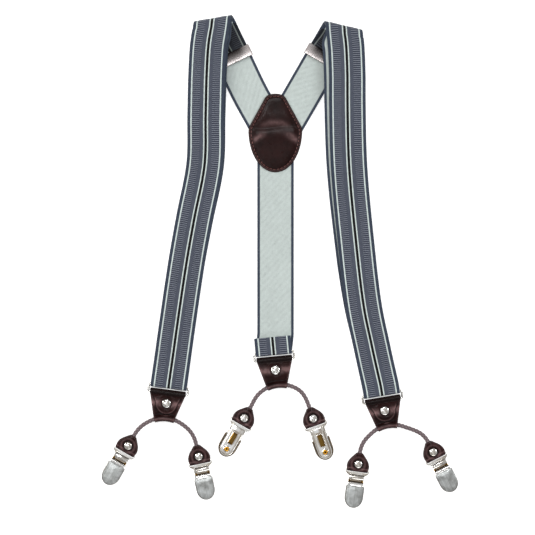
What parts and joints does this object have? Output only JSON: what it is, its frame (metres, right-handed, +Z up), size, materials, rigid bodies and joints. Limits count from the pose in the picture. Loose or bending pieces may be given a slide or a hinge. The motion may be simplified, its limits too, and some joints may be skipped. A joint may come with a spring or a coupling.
{
  "type": "suspenders",
  "caption": "Y-back elastic suspenders with striped webbing, a leather yoke, strap adjusters and corded leather tabs that end in swivelling metal grip clips.",
  "frame": {"origin": "centre of the outline at the level of the surface that the suspenders lie on", "axes": "+Y towards the shoulder folds, +X to the right as seen from above, +Z up out of the surface"},
  "size_m": [0.3408, 0.4718, 0.0114],
  "materials": {
    "webbing": "woven elastic, striped on its face and pale on its reverse",
    "leather": "smooth, glossy",
    "braid": "braided, waxed",
    "nickel": "polished nickel plate",
    "satin": "satin nickel plate",
    "brass": "polished",
    "grip": "moulded"
  },
  "bodies": {
    "straps": {"strap_left": "webbing", "strap_left_return": "webbing", "strap_right": "webbing", "strap_right_return": "webbing", "strap_back": "webbing", "yoke_patch_inner": "leather", "yoke_patch_outer": "leather", "ring_left": "nickel", "ring_centre": "nickel", "ring_right": "nickel"},
    "adjuster_left": {"adjuster_frame_left": "nickel"},
    "adjuster_left_catch": {"adjuster_lever_left": "nickel"},
    "adjuster_right": {"adjuster_frame_right": "nickel"},
    "adjuster_right_catch": {"adjuster_lever_right": "nickel"},
    "tab_left": {"tab_left": "leather", "tab_rivet_left": "nickel"},
    "cord_left": {"cord_left": "braid", "leather_end_left_a": "leather", "end_rivet_left_a": "nickel", "leather_end_left_b": "leather", "end_rivet_left_b": "nickel"},
    "clip_left_a": {"clip_base_left_a": "nickel", "clip_pad_left_a": "grip", "clip_eyelet_left_a": "brass"},
    "clip_left_a_cover": {"clip_lever_left_a": "satin"},
    "clip_left_b": {"clip_base_left_b": "nickel", "clip_pad_left_b": "grip", "clip_eyelet_left_b": "brass"},
    "clip_left_b_cover": {"clip_lever_left_b": "satin"},
    "tab_centre": {"tab_centre": "leather", "tab_rivet_centre": "nickel"},
    "cord_centre": {"cord_centre": "braid", "leather_end_centre_a": "leather", "end_rivet_centre_a": "nickel", "leather_end_centre_b": "leather", "end_rivet_centre_b": "nickel"},
    "clip_centre_a": {"clip_base_centre_a": "nickel", "clip_pad_centre_a": "grip", "clip_eyelet_centre_a": "brass"},
    "clip_centre_a_cover": {"clip_lever_centre_a": "satin"},
    "clip_centre_b": {"clip_base_centre_b": "nickel", "clip_pad_centre_b": "grip", "clip_eyelet_centre_b": "brass"},
    "clip_centre_b_cover": {"clip_lever_centre_b": "satin"},
    "tab_right": {"tab_right": "leather", "tab_rivet_right": "nickel"},
    "cord_right": {"cord_right": "braid", "leather_end_right_a": "leather", "end_rivet_right_a": "nickel", "leather_end_right_b": "leather", "end_rivet_right_b": "nickel"},
    "clip_right_a": {"clip_base_right_a": "nickel", "clip_pad_right_a": "grip", "clip_eyelet_right_a": "brass"},
    "clip_right_a_cover": {"clip_lever_right_a": "satin"},
    "clip_right_b": {"clip_base_right_b": "nickel", "clip_pad_right_b": "grip", "clip_eyelet_right_b": "brass"},
    "clip_right_b_cover": {"clip_lever_right_b": "satin"}
  },
  "joints": [
    {"name": "adjuster_left_slide", "type": "slide", "parent": "straps", "child": "adjuster_left", "axis": [0.4304, -0.9026, 0], "range_m": [0, 0.015], "deforming": ["strap_left_return"]},
    {"name": "adjuster_left_lever", "type": "hinge", "parent": "adjuster_left", "child": "adjuster_left_catch", "pos_m": [-0.04654, 0.198, 0.0012], "axis": [0.9026, 0.4304, 0], "range_deg": [0, 100]},
    {"name": "adjuster_right_slide", "type": "slide", "parent": "straps", "child": "adjuster_right", "axis": [-0.5001, -0.8659, 0], "range_m": [0, 0.015], "deforming": ["strap_right_return"]},
    {"name": "adjuster_right_lever", "type": "hinge", "parent": "adjuster_right", "child": "adjuster_right_catch", "pos_m": [0.04382, 0.19808, 0.0012], "axis": [0.8659, -0.5001, 0], "range_deg": [0, 100]},
    {"name": "tab_left_swing", "type": "hinge", "parent": "straps", "child": "tab_left", "pos_m": [-0.10731, -0.12656, 0.0039], "axis": [-0.9914, 0.1305, 0], "range_deg": [-90, 90]},
    {"name": "cord_left_slide", "type": "hinge", "parent": "tab_left", "child": "cord_left", "pos_m": [-0.11173, -0.18013, 0.0039], "axis": [0, 0, 1], "range_deg": [-8, 8]},
    {"name": "clip_left_a_swivel", "type": "hinge", "parent": "cord_left", "child": "clip_left_a", "pos_m": [-0.14821, -0.18162, 0.0039], "axis": [-0.866, 0.5, 0], "range_deg": [-60, 60]},
    {"name": "clip_left_a_lever", "type": "hinge", "parent": "clip_left_a", "child": "clip_left_a_cover", "pos_m": [-0.15466, -0.19279, 0.0047], "axis": [-0.866, 0.5, 0], "range_deg": [0, 95]},
    {"name": "clip_left_b_swivel", "type": "hinge", "parent": "cord_left", "child": "clip_left_b", "pos_m": [-0.07648, -0.19241, 0.0039], "axis": [-0.9781, -0.2079, 0], "range_deg": [-60, 60]},
    {"name": "clip_left_b_lever", "type": "hinge", "parent": "clip_left_b", "child": "clip_left_b_cover", "pos_m": [-0.0738, -0.20503, 0.0047], "axis": [-0.9781, -0.2079, 0], "range_deg": [0, 95]},
    {"name": "tab_centre_swing", "type": "hinge", "parent": "straps", "child": "tab_centre", "pos_m": [-0.00511, -0.09466, 0.0039], "axis": [0.9954, 0.0958, 0], "range_deg": [-90, 90]},
    {"name": "cord_centre_slide", "type": "hinge", "parent": "tab_centre", "child": "cord_centre", "pos_m": [0.00135, -0.14806, 0.0039], "axis": [0, 0, 1], "range_deg": [-8, 8]},
    {"name": "clip_centre_a_swivel", "type": "hinge", "parent": "cord_centre", "child": "clip_centre_a", "pos_m": [-0.03681, -0.15502, 0.0039], "axis": [0.866, -0.5, 0], "range_deg": [-60, 60]},
    {"name": "clip_centre_a_lever", "type": "hinge", "parent": "clip_centre_a", "child": "clip_centre_a_cover", "pos_m": [-0.04326, -0.16619, 0.0031], "axis": [0.866, -0.5, 0], "range_deg": [0, 95]},
    {"name": "clip_centre_b_swivel", "type": "hinge", "parent": "cord_centre", "child": "clip_centre_b", "pos_m": [0.03393, -0.15595, 0.0039], "axis": [0.9426, 0.3338, 0], "range_deg": [-60, 60]},
    {"name": "clip_centre_b_lever", "type": "hinge", "parent": "clip_centre_b", "child": "clip_centre_b_cover", "pos_m": [0.03824, -0.16811, 0.0031], "axis": [0.9426, 0.3338, 0], "range_deg": [0, 95]},
    {"name": "tab_right_swing", "type": "hinge", "parent": "straps", "child": "tab_right", "pos_m": [0.09879, -0.13366, 0.0039], "axis": [-0.9866, -0.1633, 0], "range_deg": [-90, 90]},
    {"name": "cord_right_slide", "type": "hinge", "parent": "tab_right", "child": "cord_right", "pos_m": [0.10861, -0.18655, 0.0039], "axis": [0, 0, 1], "range_deg": [-8, 8]},
    {"name": "clip_right_a_swivel", "type": "hinge", "parent": "cord_right", "child": "clip_right_a", "pos_m": [0.07436, -0.19991, 0.0039], "axis": [-0.9903, 0.1392, 0], "range_deg": [-60, 60]},
    {"name": "clip_right_a_lever", "type": "hinge", "parent": "clip_right_a", "child": "clip_right_a_cover", "pos_m": [0.07257, -0.21268, 0.0047], "axis": [-0.9903, 0.1392, 0], "range_deg": [0, 95]},
    {"name": "clip_right_b_swivel", "type": "hinge", "parent": "cord_right", "child": "clip_right_b", "pos_m": [0.14945, -0.18772, 0.0039], "axis": [-0.891, -0.454, 0], "range_deg": [-60, 60]},
    {"name": "clip_right_b_lever", "type": "hinge", "parent": "clip_right_b", "child": "clip_right_b_cover", "pos_m": [0.15531, -0.19921, 0.0047], "axis": [-0.891, -0.454, 0], "range_deg": [0, 95]}
  ]
}
